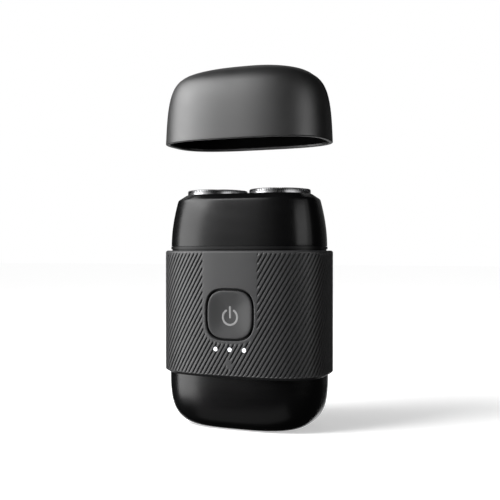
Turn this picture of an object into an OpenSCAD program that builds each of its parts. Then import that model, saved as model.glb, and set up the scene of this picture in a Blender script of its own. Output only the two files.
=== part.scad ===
// Compact rotary shaver with a pull-off cap, a ribbed grip sleeve and two floating shaving heads.
// +Z runs up the body, the button faces -Y, and the origin is the middle of the flat base.
// The cap is drawn lifted clear of the body; it closes straight down along Z.

/* [Body outline] */
// Half width of the grip sleeve and of the cap's rim
sleeve_w = 30; // [29.5:0.1:31]
// How much smaller the half depth is than the half width
flatness = 12.5; // [12:0.1:12.8]
// Exponent of the rounded outline: 2 is an ellipse, more is squarer
squareness = 3; // [2.9:0.05:3.2]
// Corners in each outline
outline_points = 64; // [32:8:96]

/* [Grip sleeve] */
// Lowest edge of the sleeve
sleeve_bottom = 18.5; // [18:0.5:19]
// Top edge of the sleeve, where the cap's rim lands
sleeve_top = 62; // [61.8:0.1:62.2]
// Sleeve thickness
sleeve_wall = 1.6; // [1.4:0.1:1.6]

/* [Housing] */
// Thickness of the housing wall
housing_wall = 1.5; // [1.2:0.1:1.6]
// Height of the rounded lower end
base_round = 19.36; // [18:0.1:21]
// Clearance between nested shells
shell_gap = 0.06; // [0.04:0.01:0.1]

/* [Cap] */
// Height of the cap's rim above its closed seat
cap_lifted = 38; // [30:1:60]
// Thickness of the cap wall
cap_wall = 1.5; // [1.3:0.1:1.5]

/* [Shaving heads] */
// Distance of each shaving head from the middle
head_x = 12; // [11.9:0.05:12]
// Radius of the visible steel ring
guard_r = 10.85; // [10.6:0.05:10.85]
// Hair slots in each guard
guard_slots = 36; // [12:6:60]
// Blades on each cutter
cutter_blades = 15; // [5:1:15]

/* [Gear train] */
// Gear module
gear_module = 0.4; // [0.4:0.1:0.4]
// Teeth on the motor pinion
pinion_teeth = 12; // [12:12:12]
// Teeth on each drive gear
drive_teeth = 48; // [48:12:48]

/* [Button] */
// Half width of the button's opening in the sleeve
button_hole = 8.9; // [8.5:0.1:9.1]
// Gap around the button
button_gap = 0.7; // [0.5:0.1:0.9]
// Height of the button's centre
button_z = 40.2; // [39.5:0.1:41]
// Height of the row of status lights
lights_z = 28.35; // [27.8:0.1:28.6]
// Distance between status lights
lights_pitch = 5.25; // [5:0.05:5.6]

/* [Hidden] */
$fn = 48;

// outlines, from outside to inside
housing_w = sleeve_w - sleeve_wall - shell_gap;
cavity_w = housing_w - housing_wall;
deck_w = housing_w - 0.15;
platform_w = 26.2;
head_w = 28.1;

// heights in the head
housing_top = 60.6;
deck_bottom = 61;
deck_top = 63.4;
platform_top = 65.4;
tower_top = 67.4;
head_bottom = 63.5;
head_edge = 79.95;
head_top = 81.8;
guard_top = 83.5;
head_lean = 2.3;
head_end_r = 11.35;
frame_z = 74.4;

// heights in the drive
plate_z = 53;
plate_top = 55;
gear_z = 56;
gear_top = 59;
motor_z = 27;
board_y = -12.4;
board_back = -11.2;
screw_x = 20.4;
screw_y = 8.4;
cell_x = -17.6;
cell_r = 7;
cell_z = 8.5;
cell_top = 51.5;
lead_r = 0.45;

// The rounded outline at height z; round_end 1 turns its ends into arcs about the heads.
function outline(w, z, round_end = 0, t = undef) = [
    for (i = [0:outline_points - 1])
        let (a = 360 * i / outline_points,
             half_y = is_undef(t) ? w - flatness : t,
             x = w * sign(cos(a)) * pow(abs(cos(a)), 2 / squareness),
             soft_y = half_y * sign(sin(a)) * pow(abs(sin(a)), 2 / squareness),
             past = max(0, (abs(x) - head_x) / (w - head_x)),
             end_y = half_y * sign(sin(a)) * sqrt(max(0, 1 - past * past)))
        [x, soft_y + (end_y - soft_y) * round_end, z]];

function flat(ring) = [for (p = ring) [p.x, p.y]];

// A skin over a stack of outlines: capped at both ends, or joined end to end as a sleeve.
module loft(rings, joined = false) {
    count = len(rings[0]);
    bands = joined ? len(rings) : len(rings) - 1;
    last = (len(rings) - 1) * count;
    centre = len(rings) * count;
    function middle(ring) = [for (p = ring) 1] * ring / count;
    sides = [
        for (j = [0:bands - 1])
            for (i = [0:count - 1])
                let (a = j * count + i,
                     b = j * count + (i + 1) % count,
                     c = ((j + 1) % len(rings)) * count + (i + 1) % count,
                     d = ((j + 1) % len(rings)) * count + i)
                each [[a, d, b], [b, d, c]]];
    ends = joined ? [] : [
        for (i = [0:count - 1])
            let (next = (i + 1) % count)
            each [[centre, i, next], [centre + 1, last + next, last + i]]];
    middles = joined ? [] : [middle(rings[0]), middle(rings[len(rings) - 1])];
    polyhedron(points = concat([for (ring = rings) each ring], middles), faces = concat(sides, ends));
}

module prism(w, z, h, t = undef) {
    translate([0, 0, z])
        linear_extrude(h)
            polygon(flat(outline(w, 0, 0, t)));
}

// The squared-off round of the button, as a prism that runs along Y from front to back.
module button_prism(half, front, back) {
    corner = 3.2;
    translate([0, back, button_z])
        rotate([90, 0, 0])
            linear_extrude(back - front)
                polygon([
                    for (a = [0:7.5:352.5])
                        [half * sign(cos(a)) * pow(abs(cos(a)), 2 / corner),
                         half * sign(sin(a)) * pow(abs(sin(a)), 2 / corner)]]);
}

// A rod along Y at x, z between two depths.
module rod_y(x, z, r, front, back) {
    translate([x, back, z])
        rotate([90, 0, 0])
            cylinder(r = r, h = back - front);
}

module block(x, y, z) {
    translate([x[0], y[0], z[0]])
        cube([x[1] - x[0], y[1] - y[0], z[1] - z[0]]);
}

module four_corners(x, y) {
    for (sx = [-1, 1])
        for (sy = [-1, 1])
            translate([sx * x, sy * y, 0])
                children();
}

module both_heads() {
    for (side = [-1, 1])
        translate([side * head_x, 0, 0])
            children();
}

// A round wire along a list of points, drawn as an eight-sided tube.
module wire(points, r) {
    last = len(points) - 1;
    function unit(v) = v / norm(v);
    function wire_section(i) =
        let (ahead = unit(points[min(i + 1, last)] - points[max(i - 1, 0)]),
             across = unit(cross(ahead, [0.8, 0.1, -0.6])),
             over = cross(ahead, across))
        [for (a = [0:45:315]) points[i] + r * (cos(a) * across + sin(a) * over)];
    loft([for (i = [0:last]) wire_section(i)]);
}

// ---- cap ----

cap_rise = 22.5;
cap_dome = 5;
cap_draft = 0.041;

// One ring of the cap: size 1 is the rim, 0 the crown. The flat-topped wall and the dome add up.
function cap_ring(size, inset, rise) =
    let (z = rise * pow(1 - pow(size, 12), 0.29) + cap_dome * (1 - size * size),
         w = (sleeve_w - inset - cap_draft * z) * size,
         t = (sleeve_w - flatness - inset - cap_draft * z) * size)
    outline(w, sleeve_top + cap_lifted + z, 0, t);

module protective_cap() {
    wall_sizes = [for (a = [70, 56, 44, 32, 21, 10, 3, 0]) pow(cos(a), 1 / 6)];
    sizes = concat([0.03, 0.25, 0.45, 0.63, 0.76], wall_sizes);
    color("#1c1c1e")
        loft(concat(
            [for (size = sizes) cap_ring(size, 0, cap_rise)],
            [for (i = [len(sizes) - 1:-1:0]) cap_ring(sizes[i], cap_wall, cap_rise - cap_wall)]));
}

// ---- shaving unit ----

function head_half_width(z) =
    head_w - head_lean * pow((z - head_bottom) / (head_edge - head_bottom), 1.9);

function head_wall(z) = 1.6 - 0.6 * (z - head_bottom) / (head_edge - head_bottom);

module head_frame() {
    levels = [head_edge, 77.6, 75, 72, 68, head_bottom];
    guard_hole = guard_r + 0.15;
    color("#0d0d0f")
        difference() {
            loft(concat(
                [outline(head_x + head_end_r, head_top, 1, head_end_r)],
                [for (z = levels) outline(head_half_width(z), z)],
                [for (i = [len(levels) - 1:-1:0])
                    outline(head_half_width(levels[i]) - head_wall(levels[i]), levels[i])]));
            both_heads()
                translate([0, 0, head_edge - 1])
                    cylinder(r = guard_hole, h = 4, $fn = 96);
        }
}

// Plate below the guards. Four posts stand against the shell's roof and four tabs snap into its wall.
module retaining_frame() {
    thickness = 1.4;
    frame_top = frame_z + thickness;
    post_height = head_edge - frame_top - 0.02;
    color("#3a3a3d")
        difference() {
            union() {
                prism(24.9, frame_z, thickness);
                for (a = [0:90:270])
                    rotate([0, 0, a])
                        translate([a % 180 == 0 ? 23.6 : 10.9, -1.5, frame_top - 0.1])
                            cube([0.9, 3, post_height + 0.1]);
                for (x = [-6, 6])
                    for (side = [0, 180])
                        rotate([0, 0, side])
                            translate([x - 1.5, 11.6, frame_top - 0.1])
                                cube([3, 0.9, 2.5]);
            }
            both_heads() {
                translate([0, 0, frame_z - 1])
                    cylinder(r = 4.2, h = 4);
                for (a = [30:60:330])
                    rotate([0, 0, a])
                        translate([6, -1.6, frame_z - 1])
                            cube([3.2, 3.2, 4]);
            }
        }
}

module guard(side) {
    track_in = 6.2;
    lip_r = 11.35;
    color("silver")
        translate([side * head_x, 0, 0])
            difference() {
                rotate_extrude($fn = 96)
                    polygon([
                        [0, 81.9], [track_in + 0.5, 81.9],
                        [track_in + 0.5, 82.65], [guard_r - 0.7, 82.65],
                        [guard_r - 0.7, 78.95], [lip_r, 78.95], [lip_r, 79.75], [guard_r, 79.75],
                        [guard_r, guard_top - 0.4], [guard_r - 0.4, guard_top], [track_in, guard_top],
                        [track_in, 82.4], [0, 82.4]]);
                for (i = [0:guard_slots - 1])
                    rotate([0, 0, 360 * i / guard_slots])
                        translate([track_in + 0.8, -0.17, 82.5])
                            cube([2.6, 0.34, 1.2]);
            }
}

module guard_cap(side) {
    color("#8c8e92")
        translate([side * head_x, 0, 0])
            rotate_extrude()
                polygon([[0, 82.4], [6, 82.4], [6, 83.05], [5.7, 83.35], [0, 83.35]]);
}

module cutter(side) {
    color("#c9ccd1")
        translate([side * head_x, 0, 0]) {
            difference() {
                translate([0, 0, 80.2])
                    cylinder(r = 9.5, h = 0.6, $fn = 72);
                for (a = [12:24:348])
                    rotate([0, 0, a])
                        translate([4.2, -0.6, 80])
                            cube([3, 1.2, 1]);
            }
            translate([0, 0, 80.8])
                cylinder(r = 3.2, h = 0.6);
            for (i = [0:cutter_blades - 1])
                rotate([0, 0, 360 * i / cutter_blades])
                    translate([7.05, -0.2, 80.7])
                        cube([2.35, 0.4, 1.85]);
        }
}

module cutter_carrier(side) {
    color("#e8e8e4")
        translate([side * head_x, 0, 0])
            difference() {
                rotate_extrude()
                    polygon([[0, 76.4], [3.6, 76.4], [3.6, 79.4], [5.5, 79.4], [5.5, 80.2], [0, 80.2]]);
                translate([0, 0, 76])
                    cylinder(r = 2.15, h = 3, $fn = 6);
            }
}

// ---- deck ----

module top_deck() {
    skirt_w = cavity_w - 0.14;
    color("#161618")
        difference() {
            union() {
                prism(deck_w, deck_bottom, deck_top - deck_bottom);
                prism(platform_w, deck_top - 0.1, platform_top - deck_top + 0.1);
                difference() {
                    prism(skirt_w, 58.8, deck_bottom - 58.7);
                    prism(skirt_w - 1.2, 58, deck_bottom - 58);
                }
                both_heads()
                    translate([0, 0, deck_bottom])
                        cylinder(r = 5.2, h = tower_top - deck_bottom);
                four_corners(screw_x, screw_y)
                    translate([0, 0, plate_top])
                        cylinder(r = 1.7, h = deck_bottom - plate_top + 0.1);
            }
            both_heads() {
                translate([0, 0, deck_bottom - 1])
                    cylinder(r = 3.08, h = 10);
                translate([0, 0, 66])
                    cylinder(r = 4.3, h = 2);
            }
            four_corners(screw_x, screw_y) {
                translate([0, 0, plate_top - 1])
                    cylinder(r = 1.05, h = 12);
                translate([0, 0, 64])
                    cylinder(r = 1.8, h = 2);
            }
        }
}

module deck_gasket() {
    color("#b5482f")
        difference() {
            prism(deck_w - 0.1, housing_top, deck_bottom - housing_top);
            prism(cavity_w + 0.1, housing_top - 1, 2);
        }
}

module spindle_seals() {
    color("#b5482f")
        both_heads()
            rotate_extrude()
                polygon([[3.06, 66], [4.28, 66], [4.28, 67.2], [3.6, 67.2], [3.3, 66.8], [3.06, 66.8]]);
}

module deck_screws() {
    color("gray")
        four_corners(screw_x, screw_y)
            difference() {
                union() {
                    translate([0, 0, 45.5])
                        cylinder(r = 0.9, h = 19);
                    translate([0, 0, 64])
                        cylinder(r = 1.65, h = 1.2);
                }
                translate([0, 0, 64.5])
                    cylinder(r = 0.85, h = 2, $fn = 6);
            }
}

// ---- drive train ----

// Polar angle by which an involute has turned away from its base circle at radius r.
function involute(r, base) =
    let (a = acos(min(1, base / r)))
    tan(a) * 180 / PI - a;

function polar(r, a) = [r * cos(a), r * sin(a)];

function gear_outline(teeth) =
    let (pitch_r = gear_module * teeth / 2,
         base_r = pitch_r * cos(20),
         tip_r = pitch_r + 0.8 * gear_module,
         root_r = pitch_r - 1.15 * gear_module,
         start_r = max(base_r, root_r),
         radii = [start_r, (start_r + tip_r) / 2, tip_r],
         half = 0.44 * 180 / teeth,
         turn = [for (r = radii) half + involute(pitch_r, base_r) - involute(r, base_r)])
    [for (tooth = [0:teeth - 1])
        let (a = 360 * tooth / teeth)
        each [
            polar(root_r, a - turn[0]),
            for (i = [0:2]) polar(radii[i], a - turn[i]),
            for (i = [2:-1:0]) polar(radii[i], a + turn[i]),
            polar(root_r, a + turn[0])]];

module drive_gear(side) {
    tube_r = 3;
    color("ivory")
        translate([side * head_x, 0, 0])
            difference() {
                union() {
                    translate([0, 0, gear_z])
                        rotate([0, 0, 180 / drive_teeth])
                            linear_extrude(gear_top - gear_z)
                                polygon(gear_outline(drive_teeth));
                    translate([0, 0, gear_top - 0.5])
                        cylinder(r = tube_r, h = 67.6 - gear_top + 0.5);
                }
                translate([0, 0, gear_z - 1])
                    cylinder(r = 1, h = 5);
                translate([0, 0, gear_top])
                    cylinder(r = tube_r - 0.7, h = 10);
                for (a = [0:60:300])
                    rotate([0, 0, a])
                        translate([6.2, 0, gear_z - 1])
                            cylinder(r = 1.6, h = 5);
            }
}

module gear_axles() {
    color("silver")
        both_heads()
            translate([0, 0, plate_z + 0.1])
                cylinder(r = 0.95, h = gear_top - plate_z - 0.2);
}

module drive_spindle(side) {
    color("#d8d8d2")
        translate([side * head_x, 0, 0]) {
            translate([0, 0, 64.5])
                cylinder(r = 2.22, h = 4.2);
            translate([0, 0, 68.6])
                cylinder(r = 1.5, h = 8);
            translate([0, 0, 76.5])
                cylinder(r = 1.9, h = 2.4, $fn = 6);
        }
}

// Compression spring inside the drive gear's tube.
module spindle_spring(side) {
    coil_r = 1.75;
    wire_r = 0.2;
    turns = 5;
    steps = 12;
    low = gear_top + wire_r + 0.02;
    high = 64.5 - wire_r - 0.02;
    function coil_section(k) =
        let (a = 360 * k / steps,
             z = low + (high - low) * k / (turns * steps))
        [for (b = [0:60:300])
            [(coil_r + wire_r * cos(b)) * cos(a), (coil_r + wire_r * cos(b)) * sin(a), z + wire_r * sin(b)]];
    color("silver")
        translate([side * head_x, 0, 0])
            mirror([0, 1, 0])
                loft([for (k = [0:turns * steps]) coil_section(k)]);
}

module motor_outline(shrink) {
    intersection() {
        circle(r = 10.2 - shrink);
        square([20.4 - 2 * shrink, 15.4 - 2 * shrink], center = true);
    }
}

module motor_frame() {
    color("#55585c")
        difference() {
            prism(cavity_w - 0.6, plate_z, plate_top - plate_z);
            translate([0, 0, plate_z - 1]) {
                cylinder(r = 3.15, h = 4);
                both_heads()
                    cylinder(r = 0.96, h = 4);
                for (side = [-1, 1])
                    translate([0, side * 5.5, 0])
                        cylinder(r = 0.85, h = 4);
                four_corners(screw_x, screw_y)
                    cylinder(r = 1, h = 4);
            }
        }
}

module motor_can() {
    can_wall = 0.6;
    color("#b9bcc0")
        difference() {
            union() {
                translate([0, 0, motor_z])
                    linear_extrude(plate_z - motor_z)
                        motor_outline(0);
                translate([0, 0, plate_z - 0.1])
                    cylinder(r = 3.1, h = 1.9);
            }
            translate([0, 0, motor_z - 1])
                linear_extrude(plate_z - can_wall - motor_z + 1)
                    motor_outline(can_wall);
            translate([0, 0, plate_z - 2])
                cylinder(r = 2, h = 5);
            for (side = [-1, 1])
                translate([0, side * 5.5, plate_z - 2])
                    cylinder(r = 0.72, h = 3);
        }
}

module motor_endcap() {
    color("#e4e2da")
        difference() {
            union() {
                translate([0, 0, 25])
                    linear_extrude(motor_z - 25)
                        motor_outline(0);
                translate([0, 0, 24.4])
                    cylinder(r = 3, h = 1);
            }
            translate([0, 0, 24])
                cylinder(r = 2, h = 4);
        }
}

module motor_magnets() {
    color("#3b3e42")
        translate([0, 0, 31])
            linear_extrude(18)
                for (side = [0, 180])
                    rotate(side)
                        intersection() {
                            difference() {
                                circle(r = 9.5);
                                circle(r = 7.2);
                            }
                            translate([4.2, -6.4])
                                square([6, 12.8]);
                        }
}

module motor_bushings() {
    color("goldenrod")
        for (z = [24.6, 52.5])
            translate([0, 0, z])
                difference() {
                    cylinder(r = 1.98, h = 2);
                    translate([0, 0, -1])
                        cylinder(r = 1.04, h = 4);
                }
}

module rotor_core() {
    color("#7d8085")
        translate([0, 0, 33])
            linear_extrude(14)
                difference() {
                    union() {
                        circle(r = 2.6);
                        for (a = [0, 120, 240])
                            rotate(a) {
                                translate([0, -0.9])
                                    square([6, 1.8]);
                                intersection() {
                                    difference() {
                                        circle(r = 6.8);
                                        circle(r = 5.6);
                                    }
                                    polygon([[0, 0], [8, -9], [8, 9]]);
                                }
                            }
                    }
                    circle(r = 1.01);
                }
}

module rotor_windings() {
    color("#b8692c")
        for (a = [0, 120, 240])
            rotate([0, 0, a])
                difference() {
                    translate([3, -2.1, 32])
                        cube([2.1, 4.2, 16]);
                    translate([2.5, -0.95, 32.95])
                        cube([3.2, 1.9, 14.1]);
                }
}

module motor_shaft() {
    color("silver")
        translate([0, 0, 24])
            cylinder(r = 1, h = 36);
}

module motor_pinion() {
    color("goldenrod")
        translate([0, 0, gear_z - 0.2])
            difference() {
                linear_extrude(gear_top - gear_z + 0.4)
                    polygon(gear_outline(pinion_teeth));
                translate([0, 0, -1])
                    cylinder(r = 1.01, h = 6);
            }
}

module motor_screws() {
    color("gray")
        for (side = [-1, 1])
            translate([0, side * 5.5, 0])
                difference() {
                    union() {
                        translate([0, 0, 51.6])
                            cylinder(r = 0.7, h = 3.6);
                        translate([0, 0, plate_top])
                            cylinder(r = 1.4, h = 0.8);
                    }
                    translate([-1.2, -0.15, plate_top + 0.4])
                        cube([2.4, 0.3, 1]);
                }
}

module motor_leads() {
    color("crimson")
        for (x = [-4, 4])
            wire([[x, -3, 24.96], [x, -3, 23.6], [x, -6, 22.4], [x, -9.6, 22.2], [x, -11.18, 22.2]], lead_r);
}

// ---- outer body ----

module grip_sleeve() {
    inner_w = sleeve_w - sleeve_wall;
    color("#4a4b4e")
        difference() {
            loft([
                outline(inner_w, sleeve_bottom),
                outline(inner_w, sleeve_top),
                outline(sleeve_w - 0.8, sleeve_top),
                outline(sleeve_w - 0.23, sleeve_top - 0.23),
                outline(sleeve_w, sleeve_top - 0.8),
                outline(sleeve_w, sleeve_bottom + 1),
                outline(inner_w + 0.1, sleeve_bottom)], joined = true);
            button_prism(button_hole, -20, -10);
            for (i = [-1:1])
                rod_y(i * lights_pitch, lights_z, 0.78, -20, -10);
        }
}

// One ring of the housing's lower end: angle 90 is the flat base, 0 the straight wall.
function base_ring(angle, inset, floor) =
    let (shrink = 1 - pow(cos(angle), 0.641),
         z = floor + (base_round - floor) * (1 - pow(sin(angle), 0.608)))
    outline(housing_w - inset - 15.61 * shrink, z, 0, housing_w - flatness - inset - 7.02 * shrink);

module housing() {
    steps = [90, 80, 66, 52, 38, 25, 14, 6, 0];
    floor_thickness = 2;
    color("#101012")
        difference() {
            union() {
                loft(concat(
                    [for (a = steps) base_ring(a, 0, 0)],
                    [outline(housing_w, housing_top), outline(cavity_w, housing_top)],
                    [for (i = [len(steps) - 1:-1:0]) base_ring(steps[i], housing_wall, floor_thickness)]));
                for (sx = [-1, 1])
                    for (sy = [-1, 1]) {
                        translate([sx * screw_x, sy * screw_y, 44])
                            cylinder(r = 1.7, h = plate_z - 44);
                        translate([sx * screw_x - (sx < 0 ? 4.9 : 0), sy * screw_y - 0.5, 44])
                            cube([4.9, 1, plate_z - 44]);
                    }
                for (x = [-12.5, 12.5])
                    for (z = [22, 49])
                        rod_y(x, z, 1.8, -14.3, board_y);
            }
            four_corners(screw_x, screw_y)
                translate([0, 0, 45])
                    cylinder(r = 0.92, h = 10);
            for (x = [-12.5, 12.5])
                for (z = [22, 49])
                    rod_y(x, z, 0.77, -14.1, -11);
            rod_y(0, button_z, 4.2, -20, -13);
            for (i = [-1:1])
                rod_y(i * lights_pitch, lights_z, 0.78, -20, -13);
            translate([0, 0, -1])
                linear_extrude(4)
                    usb_outline(4.7, 1.85);
        }
}

// ---- button, lights and board ----

button_front = -17.3;
button_back = -16.5;
stem_back = -14.1;

module power_button() {
    dish_r = 7.2;
    dish_depth = 0.4;
    color("#58595c")
        difference() {
            union() {
                button_prism(button_hole - button_gap, button_front, button_back);
                rod_y(0, button_z, 2.4, button_back - 0.1, stem_back);
            }
            translate([0, button_front, button_z])
                rotate([90, 0, 0])
                    rotate_extrude($fn = 64)
                        polygon([
                            [0, 1],
                            for (k = [0:0.2:1]) [dish_r * k, -dish_depth * (1 - k * k)],
                            [dish_r, 1]]);
        }
}

module button_seal() {
    color("#2a2a2c")
        translate([0, -14, button_z])
            rotate([90, 0, 0])
                rotate_extrude()
                    polygon([[2.5, 0], [4.15, 0], [4.15, 1.6], [3.2, 1.6], [2.5, 0.6]]);
}

module switch_plunger() {
    color("#1a1a1a")
        rod_y(0, button_z, 1.1, stem_back, -13.15);
}

module tact_switch() {
    color("#c4c6c8")
        difference() {
            block([-2.3, 2.3], [-13.6, board_y], [button_z - 2.3, button_z + 2.3]);
            rod_y(0, button_z, 1.25, -14, -12.5);
        }
}

module light_guide() {
    color("white") {
        for (i = [-1:1])
            rod_y(i * lights_pitch, lights_z, 0.7, -17.4, -13.8);
        block([-7, 7], [-14.1, -13.5], [lights_z - 0.9, lights_z + 0.9]);
    }
}

module status_leds() {
    color("lightyellow")
        for (i = [-1:1])
            block([i * lights_pitch - 0.8, i * lights_pitch + 0.8], [-13.3, board_y],
                  [lights_z - 0.4, lights_z + 0.4]);
}

module circuit_board() {
    color("darkgreen")
        difference() {
            block([-15, 15], [board_y, board_back], [19, 52]);
            for (x = [-12.5, 12.5])
                for (z = [22, 49])
                    rod_y(x, z, 0.85, -13, -10);
        }
}

module board_chips() {
    color("#222226") {
        block([-3, 3], [board_back, -10], [32, 38]);
        block([7, 11], [board_back, -10.3], [38, 43]);
        block([-10, -7], [board_back, -10.2], [27, 30]);
        block([8, 11], [board_back, -9.6], [26, 29]);
    }
}

module board_screws() {
    color("gray")
        for (x = [-12.5, 12.5])
            for (z = [22, 49])
                difference() {
                    union() {
                        rod_y(x, z, 0.75, -13.9, board_back);
                        rod_y(x, z, 1.4, board_back, -10.4);
                    }
                    block([x - 1.1, x + 1.1], [-10.8, -10], [z - 0.15, z + 0.15]);
                }
}

// ---- power ----

module battery() {
    color("#3f7fb0")
        translate([cell_x, 0, 0])
            rotate_extrude()
                polygon([
                    [0, cell_z], [cell_r - 0.4, cell_z], [cell_r, cell_z + 0.4], [cell_r, cell_top - 0.9],
                    [cell_r - 0.4, cell_top - 0.5], [3, cell_top - 0.5], [3, cell_top], [0, cell_top]]);
}

module battery_tabs() {
    color("lightgray") {
        block([cell_x - 2.5, cell_x + 2.5], [-3, 3], [cell_top, cell_top + 0.25]);
        block([cell_x - 2.5, cell_x + 2.5], [-3, 3], [cell_z - 0.25, cell_z]);
    }
}

module battery_cradle() {
    color("#2c2d30")
        difference() {
            union() {
                for (z = [15, 36])
                    translate([cell_x, 0, z])
                        cylinder(r = cell_r + 0.8, h = 5);
                block([cell_x - 3, cell_x + 1.5], [6, 8.6], [15, 41]);
            }
            translate([cell_x, 0, 10])
                cylinder(r = cell_r + 0.03, h = 40);
            block([cell_x + 2.5, 0], [-9, 9], [10, 45]);
        }
}

module battery_leads() {
    color("crimson") {
        wire([[cell_x, -2, 52.25], [cell_x, -8, 52.25],
              [-14.5, -9.6, 49.5], [-10, -9.6, 46], [-10, -11.18, 46]], lead_r);
        wire([[cell_x, -2, 7.75], [cell_x, -8.3, 7.75],
              [-13, -9.6, 13], [-10, -9.6, 21], [-10, -11.18, 21]], lead_r);
    }
}

module charge_board() {
    color("darkgreen")
        block([-7.5, 7.5], [1.66, 2.86], [3.4, 21]);
}

module charge_leads() {
    color("#2b2b2b")
        for (x = [-2, 2])
            wire([[x, 1.64, 17.5], [x, 0, 17.5], [x, -5, 17.4], [x, -9.6, 20.5], [x, -11.18, 20.5]], lead_r);
}

module usb_outline(half_x, half_y) {
    hull()
        for (side = [-1, 1])
            translate([side * (half_x - half_y), 0])
                circle(r = half_y, $fn = 32);
}

module usb_socket() {
    color("silver")
        translate([0, 0, 0.3]) {
            difference() {
                linear_extrude(7.3)
                    usb_outline(4.47, 1.63);
                translate([0, 0, -1])
                    linear_extrude(7.3)
                        usb_outline(4.17, 1.33);
            }
            translate([-3.3, -0.35, 0.8])
                cube([6.6, 0.7, 5.7]);
        }
}

module usb_seal() {
    color("#2a2a2c")
        translate([0, 0, 2.02])
            linear_extrude(1.2)
                difference() {
                    usb_outline(6, 3);
                    usb_outline(4.5, 1.66);
                }
}

protective_cap();
head_frame();
retaining_frame();
guard(-1);  // guard_left
guard(1);  // guard_right
guard_cap(-1);  // guard_cap_left
guard_cap(1);  // guard_cap_right
cutter(-1);  // cutter_left
cutter(1);  // cutter_right
cutter_carrier(-1);  // cutter_carrier_left
cutter_carrier(1);  // cutter_carrier_right
top_deck();
deck_gasket();
spindle_seals();
deck_screws();
drive_spindle(-1);  // drive_spindle_left
drive_spindle(1);  // drive_spindle_right
spindle_spring(-1);  // spindle_spring_left
spindle_spring(1);  // spindle_spring_right
drive_gear(-1);  // drive_gear_left
drive_gear(1);  // drive_gear_right
gear_axles();
motor_frame();
motor_can();
motor_endcap();
motor_magnets();
motor_bushings();
rotor_core();
rotor_windings();
motor_shaft();
motor_pinion();
motor_screws();
motor_leads();
grip_sleeve();
housing();
power_button();
button_seal();
switch_plunger();
tact_switch();
light_guide();
status_leds();
circuit_board();
board_chips();
board_screws();
battery();
battery_tabs();
battery_cradle();
battery_leads();
charge_board();
charge_leads();
usb_socket();
usb_seal();
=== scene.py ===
import math

import bmesh
import bpy
import numpy as np
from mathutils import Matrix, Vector


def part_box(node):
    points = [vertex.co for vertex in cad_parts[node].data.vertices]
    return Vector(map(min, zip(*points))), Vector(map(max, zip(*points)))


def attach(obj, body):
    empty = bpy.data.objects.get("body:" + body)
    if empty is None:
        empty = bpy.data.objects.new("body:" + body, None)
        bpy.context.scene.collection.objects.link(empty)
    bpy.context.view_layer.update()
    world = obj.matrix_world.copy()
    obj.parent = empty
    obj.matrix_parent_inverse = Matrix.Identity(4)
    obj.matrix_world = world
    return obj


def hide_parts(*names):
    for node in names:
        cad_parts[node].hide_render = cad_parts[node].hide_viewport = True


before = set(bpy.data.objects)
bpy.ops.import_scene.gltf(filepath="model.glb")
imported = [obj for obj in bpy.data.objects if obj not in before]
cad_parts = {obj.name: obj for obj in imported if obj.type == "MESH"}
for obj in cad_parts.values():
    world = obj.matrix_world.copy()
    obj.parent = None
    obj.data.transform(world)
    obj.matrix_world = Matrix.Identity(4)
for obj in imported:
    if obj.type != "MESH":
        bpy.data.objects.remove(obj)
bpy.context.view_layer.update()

# Looks of a pocket rotary shaver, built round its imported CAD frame.
# Shapes are worked out in millimetres and turned into metres when a mesh is made.
# +Z runs up the body, the button faces -Y, and the floor is at z = 0.

MM = 0.001


def box_mm(node):
    """Lowest and highest corner of a CAD node, in millimetres."""
    low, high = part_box(node)
    return low / MM, high / MM


SLEEVE_LOW, SLEEVE_HIGH = box_mm("grip_sleeve")
CAP_LOW = box_mm("protective_cap")[0]
HEAD_LOW, HEAD_HIGH = box_mm("head_frame")
DECK_LOW, DECK_HIGH = box_mm("top_deck")
HOUSING_HIGH = box_mm("housing")[1]
GUARD_LOW, GUARD_HIGH = box_mm("guard_right")
TRIM_LOW, TRIM_HIGH = box_mm("guard_cap_right")
BUTTON_LOW, BUTTON_HIGH = box_mm("power_button")
LIGHTS_LOW, LIGHTS_HIGH = box_mm("light_guide")

HEAD_X = (GUARD_LOW.x + GUARD_HIGH.x) / 2
BUTTON_Z = (BUTTON_LOW.z + BUTTON_HIGH.z) / 2
LIGHTS_Z = (LIGHTS_LOW.z + LIGHTS_HIGH.z) / 2
LIGHTS_PITCH = 5.25
SCREW_X = 20.4
SCREW_Y = 8.4
BOARD_SCREW_X = 12.5
BOARD_SCREW_Z = (22, 49)

# ---- outlines ----

SQUARENESS = 3
FLATNESS = SLEEVE_HIGH.x - SLEEVE_HIGH.y
SLEEVE_WALL = 1.6


def superellipse(angles, w, t, squareness=SQUARENESS):
    """Points of an outline with half width w and half depth t: an ellipse at 2, and squarer above."""
    power = 2 / squareness
    c, s = np.cos(angles), np.sin(angles)
    return w * np.sign(c) * np.abs(c) ** power, t * np.sign(s) * np.abs(s) ** power


def walked(x, y):
    """Distance walked along a curve, at each of its points."""
    return np.concatenate([[0], np.cumsum(np.hypot(np.diff(x), np.diff(y)))])


def even_angles(count):
    """Angles that put count points at even distances round the sleeve, each quarter alike."""
    fine = np.linspace(0, math.pi / 2, 6001)
    way = walked(*superellipse(fine, SLEEVE_HIGH.x, SLEEVE_HIGH.y))
    quarter = np.interp(np.linspace(0, way[-1], count // 4 + 1), way, fine)
    back = math.pi - quarter[::-1]
    return np.concatenate([quarter[:-1], back[:-1], math.pi + quarter[:-1], math.pi + back[:-1]])


ANGLES = even_angles(240)


def outline(w, z, t=None, round_end=0):
    """One ring of the body at height z; round_end 1 turns its ends into arcs about the heads."""
    depth = w - FLATNESS if t is None else t
    x, y = superellipse(ANGLES, w, depth)
    if round_end:
        past = np.maximum(0, (np.abs(x) - HEAD_X) / (w - HEAD_X))
        end_y = depth * np.sign(np.sin(ANGLES)) * np.sqrt(np.maximum(0, 1 - past * past))
        y = y + (end_y - y) * round_end
    return np.column_stack([x, y, np.full(len(x), float(z))])


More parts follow.
